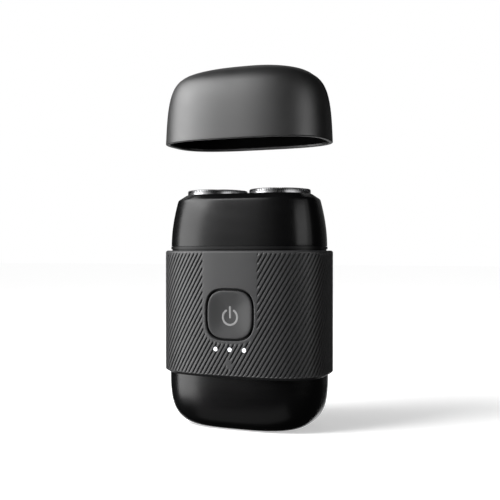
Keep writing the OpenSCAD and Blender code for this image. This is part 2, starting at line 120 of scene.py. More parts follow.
def soften(path):
    """Rings of a path of (ring, reach): a reach makes its ring a round corner that starts that far off."""
    steps = 4
    rings = []
    for i, (corner, reach) in enumerate(path):
        if not reach:
            rings.append(corner)
            continue
        ends = []
        for beside in (path[i - 1][0], path[i + 1][0]):
            step = beside - corner
            length = np.linalg.norm(step, axis=1, keepdims=True)
            ends.append(corner + step * np.minimum(reach / np.maximum(length, 1e-6), 0.5))
        for f in np.linspace(0, 1, steps + 1):
            rings.append((1 - f) ** 2 * ends[0] + 2 * f * (1 - f) * corner + f * f * ends[1])
    return rings


# ---- meshes ----


def loft(rings):
    """A closed skin over a stack of rings, with a fan of faces over each end."""
    count = len(rings[0])
    points = [point for ring in rings for point in ring]
    faces = []
    for j in range(len(rings) - 1):
        a, b = j * count, (j + 1) * count
        for i in range(count):
            k = (i + 1) % count
            faces.append((a + i, a + k, b + k, b + i))
    for first, ring in ((0, rings[0]), (len(points) - count, rings[-1])):
        centre = len(points)
        points.append(np.mean(ring, axis=0))
        faces += [(first + i, first + (i + 1) % count, centre) for i in range(count)]
    return points, faces


def turned(profile, x, across, count=96, lying=False):
    """A skin turned from (radius, height) points about an upright axis, or about a lying one along Y."""
    turn = np.linspace(0, 2 * math.pi, count, endpoint=False)
    rings = []
    for radius, height in profile:
        a, b = x + radius * np.cos(turn), across + radius * np.sin(turn)
        level = np.full(count, float(height))
        rings.append(np.column_stack([a, level, b] if lying else [a, b, level]))
    return loft(rings)


def block(x, y, z):
    """A closed box skin between two values on each axis."""
    ring = np.array([[x[0], y[0]], [x[1], y[0]], [x[1], y[1]], [x[0], y[1]]], float)
    return loft([np.column_stack([ring, np.full(4, float(level))]) for level in z])


def solid(name, *skins):
    """One object from closed skins, with its normals turned outwards."""
    points, faces = [], []
    for skin_points, skin_faces in skins:
        start = len(points)
        points += [tuple(value * MM for value in point) for point in skin_points]
        faces += [tuple(start + corner for corner in face) for face in skin_faces]
    mesh = bpy.data.meshes.new(name)
    mesh.from_pydata(points, [], faces)
    bm = bmesh.new()
    bm.from_mesh(mesh)
    bmesh.ops.recalc_face_normals(bm, faces=bm.faces)
    bm.to_mesh(mesh)
    bm.free()
    piece = bpy.data.objects.new(name, mesh)
    bpy.context.scene.collection.objects.link(piece)
    return piece


def settle(piece):
    """Replaces a piece's mesh with what its modifiers make of it."""
    bpy.context.view_layer.update()
    shape = piece.evaluated_get(bpy.context.evaluated_depsgraph_get())
    mesh = bpy.data.meshes.new_from_object(shape)
    piece.modifiers.clear()
    piece.data = mesh


def carve(piece, *skins, operation="DIFFERENCE"):
    """Cuts closed skins out of a piece, or joins them to it."""
    tool = solid("tool", *skins)
    modifier = piece.modifiers.new("carve", "BOOLEAN")
    modifier.operation = operation
    modifier.solver = "MANIFOLD"
    modifier.object = tool
    settle(piece)
    bpy.data.objects.remove(tool)


def dress(piece, body, slot, *nodes, sharp=32, look=None):
    """Shades a finished piece, gives it its material, and ties it to the frame."""
    piece.data.polygons.foreach_set("use_smooth", [True] * len(piece.data.polygons))
    piece.data.set_sharp_from_angle(angle=math.radians(sharp))
    piece.data.materials.clear()
    piece.data.materials.append(LOOKS[look or slot])
    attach(piece, body)
    if nodes:
        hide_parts(*nodes)
    return piece


# ---- materials ----


def surface(name, colour, roughness, metallic=0.0, ior=1.5, shine=0.5):
    """A new material with an even colour, ready for its texture."""
    material = bpy.data.materials.new("look_" + name)
    material.use_nodes = True
    shader = material.node_tree.nodes["Principled BSDF"]
    shader.inputs["Base Color"].default_value = (*colour, 1)
    shader.inputs["Roughness"].default_value = roughness
    shader.inputs["Metallic"].default_value = metallic
    shader.inputs["IOR"].default_value = ior
    shader.inputs["Specular IOR Level"].default_value = shine
    return material


def fixed_pattern(material, kind, per_mm, stretch=(1, 1, 1), turn=(0, 0, 0)):
    """A texture node fixed to the piece, with so many repeats to the millimetre before it is drawn out."""
    nodes, links = material.node_tree.nodes, material.node_tree.links
    place = nodes.new("ShaderNodeTexCoord")
    mapping = nodes.new("ShaderNodeMapping")
    mapping.inputs["Scale"].default_value = [per_mm / MM / factor for factor in stretch]
    mapping.inputs["Rotation"].default_value = turn
    pattern = nodes.new(kind)
    pattern.inputs["Scale"].default_value = 1
    links.new(place.outputs["Object"], mapping.inputs["Vector"])
    links.new(mapping.outputs["Vector"], pattern.inputs["Vector"])
    return pattern


def noise(material, per_mm, detail=3.0, stretch=(1, 1, 1)):
    """Noise with so many blobs to the millimetre; stretch draws it out along an axis."""
    pattern = fixed_pattern(material, "ShaderNodeTexNoise", per_mm, stretch)
    pattern.inputs["Detail"].default_value = detail
    return pattern.outputs["Fac"]


def tint(material, source, dark, light):
    """Lets a pattern move the base colour between two colours."""
    nodes, links = material.node_tree.nodes, material.node_tree.links
    mix = nodes.new("ShaderNodeMix")
    mix.data_type = "RGBA"
    mix.inputs["A"].default_value = (*dark, 1)
    mix.inputs["B"].default_value = (*light, 1)
    links.new(source, mix.inputs["Factor"])
    links.new(mix.outputs["Result"], nodes["Principled BSDF"].inputs["Base Color"])


def polish(material, source, smooth, rough):
    """Lets a pattern move the roughness between two values."""
    nodes, links = material.node_tree.nodes, material.node_tree.links
    span = nodes.new("ShaderNodeMapRange")
    span.inputs["From Min"].default_value = 0.3
    span.inputs["From Max"].default_value = 0.7
    span.inputs["To Min"].default_value = smooth
    span.inputs["To Max"].default_value = rough
    links.new(source, span.inputs["Value"])
    links.new(span.outputs["Result"], nodes["Principled BSDF"].inputs["Roughness"])


def emboss(material, source, depth, under=None):
    """Adds fine relief of a depth in millimetres, on top of any other relief."""
    nodes, links = material.node_tree.nodes, material.node_tree.links
    bump = nodes.new("ShaderNodeBump")
    bump.inputs["Strength"].default_value = 1
    bump.inputs["Distance"].default_value = depth * MM
    links.new(source, bump.inputs["Height"])
    if under:
        links.new(under, bump.inputs["Normal"])
    links.new(bump.outputs["Normal"], nodes["Principled BSDF"].inputs["Normal"])
    return bump.outputs["Normal"]


def scaled(colour, factor):
    """A colour made darker or lighter."""
    return tuple(min(1, channel * factor) for channel in colour)


def moulded(name, colour, roughness, grain_per_mm, grain_depth, shine=0.5):
    """Moulded plastic or rubber: fine spark grain, slow flow marks, and patches dulled by handling."""
    material = surface(name, colour, roughness, shine=shine)
    tint(material, noise(material, 0.07, 4), scaled(colour, 0.85), scaled(colour, 1.15))
    polish(material, noise(material, 0.3, 5), roughness * 0.92, roughness * 1.1)
    emboss(material, noise(material, grain_per_mm, 2), grain_depth)
    return material


def metal(name, colour, roughness, stretch):
    """Machined or drawn metal: lines left by the tool along one axis, and uneven polish."""
    material = surface(name, colour, roughness, metallic=1.0)
    lines = noise(material, 6, 3, stretch)
    tint(material, noise(material, 0.25, 4), scaled(colour, 0.82), scaled(colour, 1.12))
    polish(material, lines, roughness * 0.8, roughness * 1.25)
    emboss(material, lines, 0.002)
    return material


def glowing(name, colour, strength):
    """A milky part lit from behind: the light varies a little across the moulding."""
    material = surface(name, colour, 0.35)
    shader = material.node_tree.nodes["Principled BSDF"]
    cloud = noise(material, 1.5, 2)
    tint(material, cloud, scaled(colour, 0.9), colour)
    emboss(material, cloud, 0.004)
    shader.inputs["Emission Color"].default_value = (*colour, 1)
    shader.inputs["Emission Strength"].default_value = strength
    return material


def circuit(name, colour):
    """Solder mask: copper tracks and pads show through it as slightly raised, lighter lines."""
    material = surface(name, colour, 0.32)
    upright = (math.pi / 2, 0, 0)
    tracks = fixed_pattern(material, "ShaderNodeTexBrick", 0.45, turn=upright)
    tracks.inputs["Mortar Size"].default_value = 0.03
    tracks.inputs["Color1"].default_value = (*scaled(colour, 0.8), 1)
    tracks.inputs["Color2"].default_value = (*colour, 1)
    tracks.inputs["Mortar"].default_value = (*scaled(colour, 1.8), 1)
    shader = material.node_tree.nodes["Principled BSDF"]
    material.node_tree.links.new(tracks.outputs["Color"], shader.inputs["Base Color"])
    emboss(material, tracks.outputs["Fac"], 0.02)
    polish(material, noise(material, 0.5, 3), 0.25, 0.4)
    return material


def wound_copper(name, colour):
    """Enamelled wire: even turns side by side, seen as fine ridges, with painted shade darkening the grooves
    between them.
    """
    material = surface(name, colour, 0.3, metallic=1.0)
    turns = fixed_pattern(material, "ShaderNodeTexWave", 1.1)
    turns.bands_direction = "Z"
    turns.inputs["Distortion"].default_value = 0.4
    # Painted shade: the colour drops to under half in the grooves between turns, where the relief is lowest.
    tint(material, turns.outputs["Fac"], scaled(colour, 0.45), colour)
    polish(material, noise(material, 1, 3), 0.25, 0.4)
    emboss(material, turns.outputs["Fac"], 0.06)
    return material


def satin_cap(name):
    """Soft-sheen black: the spark grain of the cap's mould breaks its highlights up."""
    colour = (0.004, 0.004, 0.0042)
    material = surface(name, colour, 0.47, ior=1.72, shine=1.0)
    tint(material, noise(material, 0.05, 4), scaled(colour, 0.85), scaled(colour, 1.15))
    polish(material, noise(material, 0.2, 5), 0.45, 0.49)
    coarse = emboss(material, noise(material, 2.2, 2), 0.004)
    emboss(material, noise(material, 5, 1), 0.003, coarse)
    return material


def gloss_shell(name):
    """Piano-gloss black with a trace of orange peel and fine wiping marks."""
    colour = (0.003, 0.003, 0.0032)
    material = surface(name, colour, 0.24, ior=1.47)
    tint(material, noise(material, 0.06, 3), scaled(colour, 0.8), scaled(colour, 1.2))
    polish(material, noise(material, 0.4, 6, (6, 1, 1)), 0.22, 0.27)
    emboss(material, noise(material, 0.35, 1), 0.006)
    return material


def sleeve_grip(name):
    """Dark grey soft-touch plastic with a powdery fine grain."""
    colour = (0.03, 0.03, 0.0312)
    material = surface(name, colour, 0.48, shine=1.0)
    tint(material, noise(material, 0.08, 5), scaled(colour, 0.86), scaled(colour, 1.12))
    polish(material, noise(material, 0.5, 4), 0.45, 0.52)
    emboss(material, noise(material, 4.5, 2), 0.004)
    return material


# Plastics, rubbers and inks: colour, roughness, grain per millimetre, grain depth, and for some the shine.
MOULDED = {
    # Painted shade: a darker, duller black than the cap, laid inside it so its hollow reads as shade
    "cap_inside_shade": ((0.002, 0.002, 0.002), 0.8, 2.5, 0.01, 0.1),
    "deck_black": ((0.005, 0.005, 0.0053), 0.4, 3.5, 0.004, 0.4),
    "button_grey": ((0.03, 0.0303, 0.031), 0.4, 5.0, 0.003, 0.9),
    "white_plastic": ((0.62, 0.61, 0.57), 0.45, 2.5, 0.004),
    "grey_plastic": ((0.055, 0.055, 0.06), 0.5, 3.0, 0.005),
    "symbol_ink": ((0.3, 0.3, 0.3), 0.4, 3.0, 0.003),
    "black_plastic": ((0.012, 0.012, 0.013), 0.5, 3.0, 0.005),
    "black_rubber": ((0.015, 0.015, 0.016), 0.75, 1.8, 0.01),
    "seal_rubber": ((0.3, 0.055, 0.025), 0.6, 1.6, 0.01),
    "battery_wrap": ((0.04, 0.16, 0.36), 0.28, 0.8, 0.006),
    "red_wire": ((0.42, 0.012, 0.01), 0.42, 1.5, 0.01),
    "black_wire": ((0.015, 0.015, 0.017), 0.45, 1.5, 0.01),
}

# Metals: colour, roughness, and how far the tool lines are drawn out along x, y and z.
METALS = {
    "guard_steel": ((0.48, 0.48, 0.49), 0.27, (1, 1, 8)),
    "guard_trim": ((0.48, 0.48, 0.5), 0.34, (1, 12, 1)),
    "blade_steel": ((0.25, 0.25, 0.26), 0.26, (8, 1, 1)),
    "shaft_steel": ((0.56, 0.56, 0.57), 0.2, (12, 12, 1)),
    "spring_steel": ((0.45, 0.45, 0.47), 0.26, (4, 4, 1)),
    "screw_steel": ((0.36, 0.36, 0.38), 0.35, (1, 1, 4)),
    "motor_steel": ((0.5, 0.5, 0.51), 0.4, (1, 1, 10)),
    "nickel_tab": ((0.55, 0.54, 0.5), 0.3, (6, 1, 1)),
    "switch_metal": ((0.58, 0.58, 0.57), 0.3, (1, 1, 6)),
    "magnet": ((0.09, 0.09, 0.1), 0.55, (1, 1, 2)),
    "brass": ((0.62, 0.42, 0.14), 0.28, (8, 8, 1)),
}

# Every look by its name, which is the name of the CAD's material slot where there is one.
LOOKS = {slot: moulded(slot, *settings) for slot, settings in MOULDED.items()}
LOOKS.update({slot: metal(slot, *settings) for slot, settings in METALS.items()})
LOOKS["cap_black"] = satin_cap("cap_black")
LOOKS["gloss_black"] = gloss_shell("gloss_black")
LOOKS["sleeve_grey"] = sleeve_grip("sleeve_grey")
LOOKS["light_diffuser"] = glowing("light_diffuser", (0.95, 0.97, 1.0), 1.6)
LOOKS["led_white"] = glowing("led_white", (1.0, 0.95, 0.75), 0.4)
LOOKS["board_green"] = circuit("board_green", (0.012, 0.09, 0.035))
LOOKS["winding_copper"] = wound_copper("winding_copper", (0.72, 0.26, 0.09))

# ---- cap ----

CAP_WALL = 1.5
CAP_RISE = 22.5
CAP_DOME = 5.0
CAP_DRAFT = 0.041
CAP_CORNER = 12
CAP_SHOULDER = 0.29


def cap_ring(size, inset, rise):
    """One ring of the cap: size 1 is the rim and 0 the crown. A flat-topped wall and a dome add up."""
    z = rise * (1 - size ** CAP_CORNER) ** CAP_SHOULDER + CAP_DOME * (1 - size * size)
    w = (SLEEVE_HIGH.x - inset - CAP_DRAFT * z) * size
    t = (SLEEVE_HIGH.y - inset - CAP_DRAFT * z) * size
    return outline(w, CAP_LOW.z + z, t)


def protective_cap():
    """Thin domed cover, open below, with a rounded rim, and inside it a darker, duller sheet of painted
    shade.
    """
    rim_round = 0.45
    heights = np.linspace(0.04, 0.975, 34)
    wall = (1 - heights ** (1 / CAP_SHOULDER)) ** (1 / CAP_CORNER)
    crown = np.linspace(0.03, wall[-1], 22)[:-1]
    sizes = np.concatenate([crown, wall[::-1]])

    def shell(inset):
        return [cap_ring(size, inset, CAP_RISE - inset) for size in sizes]

    outer, inner = shell(0), shell(CAP_WALL)
    rim = soften([(outer[-1], 0), (cap_ring(1, 0, CAP_RISE), rim_round),
                  (cap_ring(1, CAP_WALL, CAP_RISE), rim_round), (inner[-1], 0)])
    cover = solid("cap_shell", loft([*outer[:-1], *rim, *inner[-2::-1]]))
    dress(cover, "cap", "cap_black", "protective_cap")
    # Painted shade: a thin sheet just inside the wall, darker and duller than the cap, keeps the hollow
    # black.
    bedded, skin = CAP_WALL - 0.05, CAP_WALL + 0.03
    shade_sheet = solid("cap_shade_sheet", loft([*shell(bedded), *shell(skin)[::-1]]))
    dress(shade_sheet, "cap", "cap_black", look="cap_inside_shade")


# ---- shaving head ----

HEAD_EDGE = 79.95
HEAD_W = 28.1
HEAD_LEAN = 2.3
HEAD_CURVE = 1.9
HEAD_END_R = 11.35
HEAD_WALL = 1.6
HEAD_WALL_TOP = 1.0
GUARD_R = 10.85


def head_half_width(z):
    """Half width of the head's side, which leans in more and more towards its upper edge."""
    return HEAD_W - HEAD_LEAN * ((z - HEAD_LOW.z) / (HEAD_EDGE - HEAD_LOW.z)) ** HEAD_CURVE


def head_shell():
    """Gloss shell that leans inwards to a soft ridge, then bevels up to a flat top with two openings."""
    low, top, shelf = HEAD_LOW.z, HEAD_HIGH.z, 0.6
    side = [outline(head_half_width(z), z) for z in np.linspace(low, HEAD_EDGE, 16)]
    path = [(outline(HEAD_W - shelf, low), 0), (side[0], 0.08), *[(ring, 0) for ring in side[1:-1]],
            (side[-1], 0.5), (outline(HEAD_X + HEAD_END_R, top, HEAD_END_R, 1), 0.2),
            (outline(HEAD_X + HEAD_END_R - shelf, top, HEAD_END_R - shelf, 1), 0)]
    shell = solid("head_shell", loft(soften(path)))
    levels = np.linspace(low, HEAD_EDGE, 10)
    walls = np.linspace(HEAD_WALL, HEAD_WALL_TOP, 10)
    hollow = [outline(head_half_width(z) - wall, z) for z, wall in zip(levels, walls)]
    hollow[0][:, 2] -= 1
    carve(shell, loft(hollow))
    hole_r, bevel = GUARD_R + 0.15, 0.18
    mouth = [(hole_r, HEAD_EDGE - 1), (hole_r, top - bevel), (hole_r + 2 * bevel, top + bevel),
             (hole_r + 2 * bevel, top + 1)]
    carve(shell, *[turned(mouth, x, 0, 128) for x in (-HEAD_X, HEAD_X)])
    dress(shell, "shaving_head", "gloss_black", "head_frame")


def guard(side, name):
    """Pressed steel foil cup: a raised track with fine through slots that wrap over its outer edge."""
    slots = 92
    columns = [0, 0.16, 0.32, 0.48]
    rim_r, top = GUARD_R, GUARD_HIGH.z
    lip = [(rim_r + 0.5, top - 4.55), (rim_r + 0.5, top - 3.85), (rim_r + 0.4, top - 3.75),
           (rim_r + 0.12, top - 3.75)]
    wall = [(rim_r, top - 3.6), (rim_r, top - 2.5), (rim_r, top - 1.4)]
    slotted = [(rim_r, top - 1.05), (rim_r - 0.04, top - 0.3), (rim_r - 0.15, top - 0.13),
               (rim_r - 0.32, top - 0.03), (rim_r - 0.55, top), (9.2, top), (8.2, top)]
    well = [(7.2, top), (6.9, top - 0.02), (6.55, top - 0.05), (6.36, top - 0.17), (6.26, top - 0.35),
            (6.2, top - 0.9), (6.1, top - 1.07), (5.9, top - 1.1), (3.0, top - 1.1)]
    profile = lip + wall + slotted + well
    open_rows = range(len(lip + wall), len(lip + wall + slotted))
    turn = [2 * math.pi * (slot + step) / slots for slot in range(slots) for step in columns]
    count = len(turn)
    points = [(side * HEAD_X + r * math.cos(a), r * math.sin(a), z) for r, z in profile for a in turn]
    faces = []
    for j in range(len(profile) - 1):
        for i in range(count):
            if j in open_rows and i % len(columns) == len(columns) - 1:
                continue
            k = (i + 1) % count
            faces.append((j * count + i, j * count + k, (j + 1) * count + k, (j + 1) * count + i))
    centre = len(points)
    points.append((side * HEAD_X, 0, profile[-1][1]))
    last = centre - count
    faces += [(last + i, last + (i + 1) % count, centre) for i in range(count)]
    cup = solid(name, (points, faces))
    inward = cup.modifiers.new("wall", "SOLIDIFY")
    inward.thickness = 0.24 * MM
    inward.offset = -1
    settle(cup)
    return cup


def guards():
    """Both guards, each with the trim disc in its middle: a rounded rim and one fine groove."""
    low, top = TRIM_LOW.z, TRIM_HIGH.z
    groove = top - 0.06
    disc = [(5.2, low), (6, low), (6, top - 0.22), (5.94, top - 0.1), (5.8, top - 0.03), (5.5, top),
            (4.6, top), (4.5, groove), (4.25, groove), (4.15, top), (2, top)]
    for side, hand in ((-1, "left"), (1, "right")):
        cup = guard(side, "foil_" + hand)
        dress(cup, "guard_" + hand[0], "guard_steel", "guard_" + hand, sharp=40)
        trim = solid("trim_disc_" + hand, turned(disc, side * HEAD_X, 0))
        dress(trim, "guard_" + hand[0], "guard_trim", "guard_cap_" + hand)


# ---- deck below the head ----

DECK_BOTTOM = 61
DECK_TOP = 63.4
HOUSING_WALL = 1.5
CAVITY_W = HOUSING_HIGH.x - HOUSING_WALL
SPINDLE_SEAT_Z = 66
CORNERS = [(x, y) for x in (-SCREW_X, SCREW_X) for y in (-SCREW_Y, SCREW_Y)]


def deck():
    """Stepped lid of the body: flange, platform, two spindle towers and four screw columns."""
    deck_w, top = DECK_HIGH.x, DECK_HIGH.z
    platform_w, platform_top = 26.2, 65.4
    skirt_w, skirt_low = CAVITY_W - 0.14, DECK_LOW.z + 3.8
    skirt_inner_w = skirt_w - 1.2
    seam_w, seam_low, seam_high = deck_w - 0.35, SLEEVE_HIGH.z, SLEEVE_HIGH.z + 0.42
    bead_outer_w, bead_inner_w, bead_top = 27.7, 26.9, DECK_TOP + 0.09
    steps = [
        (skirt_inner_w, DECK_BOTTOM, 0), (skirt_inner_w, skirt_low, 0), (skirt_w, skirt_low, 0.2),
        (skirt_w, DECK_BOTTOM, 0), (deck_w, DECK_BOTTOM, 0.15), (deck_w, seam_low, 0),
        (seam_w, seam_low, 0), (seam_w, seam_high, 0), (deck_w, seam_high, 0.08), (deck_w, DECK_TOP, 0.08),
        (bead_outer_w, DECK_TOP, 0), (bead_outer_w, bead_top, 0), (bead_inner_w, bead_top, 0),
        (bead_inner_w, DECK_TOP, 0), (platform_w, DECK_TOP, 0.2), (platform_w, platform_top, 0.3),
        (platform_w - 2, platform_top, 0)]
    lid = solid("body_deck", loft(soften([(outline(w, z), reach) for w, z, reach in steps])))
    tower = [(5.2, DECK_TOP), (5.2, top - 0.4), (5.08, top - 0.12), (4.8, top)]
    column = [(1.7, DECK_LOW.z), (1.7, DECK_BOTTOM + 0.5)]
    towers = [turned(tower, x, 0, 72) for x in (-HEAD_X, HEAD_X)]
    columns = [turned(column, x, y, 32) for x, y in CORNERS]
    carve(lid, *towers, *columns, operation="UNION")
    bore_r, seat_r = 3.08, 4.3
    bore = [(bore_r, DECK_BOTTOM - 3), (bore_r, SPINDLE_SEAT_Z), (seat_r, SPINDLE_SEAT_Z),
            (seat_r, top - 0.2), (seat_r + 0.4, top + 0.2)]
    shank_r, screw_head_r, shoulder = 1.05, 1.8, 64
    screw_hole = [(shank_r, DECK_LOW.z - 1), (shank_r, shoulder), (screw_head_r, shoulder),
                  (screw_head_r, platform_top - 0.15), (screw_head_r + 0.3, platform_top + 0.15)]
    bores = [turned(bore, x, 0, 72) for x in (-HEAD_X, HEAD_X)]
    screw_holes = [turned(screw_hole, x, y, 32) for x, y in CORNERS]
    carve(lid, *bores, *screw_holes)
    dress(lid, "body", "deck_black", "top_deck")


# ---- grip sleeve ----

RIB_PITCH = 1.592
RIB_SLOPE = 59.37
RIB_START = 0.25
GROOVE_DEPTH = 0.45
GROOVE = [  # share of the way across a rib, and share of the groove's depth there
    (0, 0), (0.17, 0), (0.31, 0.03), (0.36, 0.16), (0.41, 0.62),
    (0.47, 0.97), (0.53, 1), (0.59, 0.97), (0.64, 0.62), (0.69, 0.16)]
PANEL_HALF = 10.05
BUTTON_HOLE = 8.9
BUTTON_CORNER = 3.2
BUTTON_HALF = BUTTON_HOLE - 0.7
LIGHT_R = 0.78
PLAIN_RIM_TOP = 1.0
PLAIN_RIM_BOTTOM = 1.35
DROPLET_Z = 23.5
DROPLET_HALF_W = 1.3
DROPLET_HALF_H = 1.9


def button_reach(x, z):
    """How far out a point lies from the button's middle, measured in the button's own squared-off shape."""
    return (np.abs(x) ** BUTTON_CORNER + np.abs(z) ** BUTTON_CORNER) ** (1 / BUTTON_CORNER)


def groove_depth(x, y, z):
    """Share of a groove's depth at each point: none on the rims, the plain front panel and the droplet."""
    fade = 0.3
    ends = min(z - SLEEVE_LOW.z - PLAIN_RIM_BOTTOM, SLEEVE_HIGH.z - PLAIN_RIM_TOP - z)
    panel = button_reach(x, min(0, z - BUTTON_Z)) - PANEL_HALF
    taper = min(max((DROPLET_Z + 2.1 - z) / 2.4, 0.05), 1)
    droplet = np.hypot(x / (DROPLET_HALF_W * taper), (z - DROPLET_Z) / DROPLET_HALF_H) - 1
    front = np.where(y < 0, np.minimum(panel, droplet), PANEL_HALF)
    near = np.clip(np.minimum(ends, front) / fade, 0, 1)
    return near * near * (3 - 2 * near)


def sleeve_curve(inset):
    """The sleeve's outline in fine steps from the middle of the front, with the distance walked along it."""
    fine = np.linspace(-math.pi / 2, 1.5 * math.pi, 24001)
    x, y = superellipse(fine, SLEEVE_HIGH.x - inset, SLEEVE_HIGH.y - inset)
    return x, y, walked(x, y)


WAY_ROUND = sleeve_curve(0)[2][-1]


def sleeve_ring(z, inset, starts, depths):
    """One ring of the sleeve: its points slide round with height, so that each keeps to its own rib."""
    x, y, way = sleeve_curve(inset)
    lean = (z - SLEEVE_LOW.z) / math.tan(math.radians(RIB_SLOPE)) / WAY_ROUND
    place = np.mod(starts + lean, 1) * way[-1]

    def at(distance):
        wrapped = np.mod(distance, way[-1])
        return np.array([np.interp(wrapped, way, x), np.interp(wrapped, way, y)])

    here = at(place)
    step = 0.05
    along = at(place + step) - at(place - step)
    along /= np.hypot(*along)
    cut = GROOVE_DEPTH * depths * groove_depth(*here, z)
    return np.column_stack([here[0] - along[1] * cut, here[1] + along[0] * cut, np.full(len(cut), float(z))])


def button_loop(half, reach):
    """The button's squared-off round on the sleeve's front, standing proud of its surface by reach."""
    turn = np.linspace(0, 2 * math.pi, 96, endpoint=False)
    x, z = superellipse(turn, half, half, BUTTON_CORNER)
    skin = SLEEVE_HIGH.y * (1 - (np.abs(x) / SLEEVE_HIGH.x) ** SQUARENESS) ** (1 / SQUARENESS)
    return np.column_stack([x, -skin - reach, BUTTON_Z + z])


def at_lights(profile, count):
    """A lying turned skin at each of the three status lights."""
    return [turned(profile, i * LIGHTS_PITCH, LIGHTS_Z, count, lying=True) for i in (-1, 0, 1)]


def grip_sleeve():
    """Ribbed sleeve: slanted grooves all round, but for a plain panel round the button and plain rims."""
    ribs = round(WAY_ROUND / RIB_PITCH)
    across, depths = np.transpose(GROOVE)
    starts = (np.repeat(np.arange(ribs), len(across)) + np.tile(across, ribs)) / ribs + RIB_START / WAY_ROUND
    depths = np.tile(depths, ribs)

    def ring(z, inset=0.0):
        return sleeve_ring(z, inset, starts, depths)

    low, high = SLEEVE_LOW.z, SLEEVE_HIGH.z
    inside, edge = SLEEVE_WALL + 1, 0.8
    lower = soften([(ring(low, inside), 0), (ring(low, SLEEVE_WALL - 0.1), 0.15),
                    (ring(low + 1), 0.35), (ring(low + 1.6), 0)])
    body = [ring(z) for z in np.arange(low + 1.7, high - edge, 0.36)]
    fillet = [ring(high - edge * (1 - math.sin(a)), edge * (1 - math.cos(a)))
              for a in np.radians(np.linspace(0, 90, 7))]
    sleeve = solid("ribbed_sleeve", loft([*lower, *body, *fillet, ring(high, inside)]))
    hollow = [outline(SLEEVE_HIGH.x - SLEEVE_WALL, z) for z in (low - 1, high + 1)]
    carve(sleeve, loft(hollow))
    flare = [(0, -5), (0, -0.24), (0.08, -0.1), (0.28, 0.04), (0.3, 2)]
    mouth = [button_loop(BUTTON_HOLE + wider, reach) for wider, reach in flare]
    rim_y, bevel = -SLEEVE_HIGH.y, 0.1
    light = [(LIGHT_R, -10), (LIGHT_R, rim_y + bevel), (LIGHT_R + 2 * bevel, rim_y - bevel),
             (LIGHT_R + 2 * bevel, -20)]
    carve(sleeve, loft(mouth), *at_lights(light, 32))
    dress(sleeve, "body", "sleeve_grey", "grip_sleeve", sharp=50)


# ---- housing ----

BASE_ROUND = 19.36
BASE_DRAW_X = 15.61
BASE_DRAW_Y = 7.02


def base_rings(inset, floor, count=34):
    """Rings of the rounded lower end, from the flat base up to the straight wall, evenly spaced along it."""
    across = np.linspace(0, 1, 4001) ** 3
    shrink = 1 - across ** 0.641
    rise = 1 - (1 - across ** 2) ** 0.304
    w = HOUSING_HIGH.x - inset - BASE_DRAW_X * shrink
    t = HOUSING_HIGH.y - inset - BASE_DRAW_Y * shrink
    z = floor + (BASE_ROUND - floor) * rise
    way = walked(w, z)
    stops = np.linspace(0, way[-1], count)
    columns = [np.interp(stops, way, values) for values in (w, z, t)]
    return [outline(*values) for values in zip(*columns)]


def stadium(half_x, half_y, z, count=48):
    """A slot outline with round ends, as a ring at height z."""
    turn = np.linspace(0, 2 * math.pi, count, endpoint=False)
    shift = np.sign(np.cos(turn)) * (half_x - half_y)
    return np.column_stack([shift + half_y * np.cos(turn), half_y * np.sin(turn), np.full(count, float(z))])


def housing():
    """Gloss lower case with a flat foot, screw bosses, and openings for the button, lights and plug."""
    top, wall_w = HOUSING_HIGH.z, HOUSING_HIGH.x
    floor_thickness, rim_bevel, outside = 2, 0.3, -20
    rings = base_rings(0, 0) + [outline(wall_w, z) for z in (30, 45, top - rim_bevel)]
    rings += [outline(wall_w - 0.2, top), outline(wall_w - 3, top)]
    case = solid("lower_case", loft(rings))
    carve(case, loft(base_rings(HOUSING_WALL, floor_thickness) + [outline(CAVITY_W, top + 1)]))
    boss_r, boss_low, boss_high, web_length = 1.7, 44, 53, 4.9
    webs = [block(sorted((x, x + math.copysign(web_length, x))), (y - 0.5, y + 0.5),
                  (boss_low + 0.2, boss_high - 0.2)) for x, y in CORNERS]
    boss = [(boss_r, boss_low), (boss_r, boss_high - 0.2), (boss_r - 0.2, boss_high)]
    peg = [(1.8, -14.6), (1.8, -12.4)]
    pegs = [(x, z) for x in (-BOARD_SCREW_X, BOARD_SCREW_X) for z in BOARD_SCREW_Z]
    carve(case, *webs, operation="UNION")
    carve(case, *[turned(boss, x, y, 32) for x, y in CORNERS], operation="UNION")
    carve(case, *[turned(peg, x, z, 32, lying=True) for x, z in pegs], operation="UNION")
    flare = [(0, 3), (0, 0.35), (0.3, 0), (0.6, -0.35)]
    slot = [stadium(4.7 + wider, 1.85 + wider, z) for wider, z in flare]
    button_bore = turned([(4.2, outside), (4.2, -13)], 0, BUTTON_Z, 64, lying=True)
    light_bores = at_lights([(LIGHT_R, outside), (LIGHT_R, -13)], 24)
    pilots = [turned([(0.92, 45), (0.92, 55)], x, y, 24) for x, y in CORNERS]
    peg_pilots = [turned([(0.77, -14.1), (0.77, -11)], x, z, 24, lying=True) for x, z in pegs]
    carve(case, loft(slot), button_bore, *light_bores, *pilots, *peg_pilots)
    dress(case, "body", "gloss_black", "housing")


# ---- button and lights ----

DISH_DEPTH = 0.6


def button_face(share):
    """Depth of the button's hollow face at a share of the way from its middle to its edge."""
    return DISH_DEPTH * max(0.0, 1 - (share / 0.93) ** 2) ** 1.3


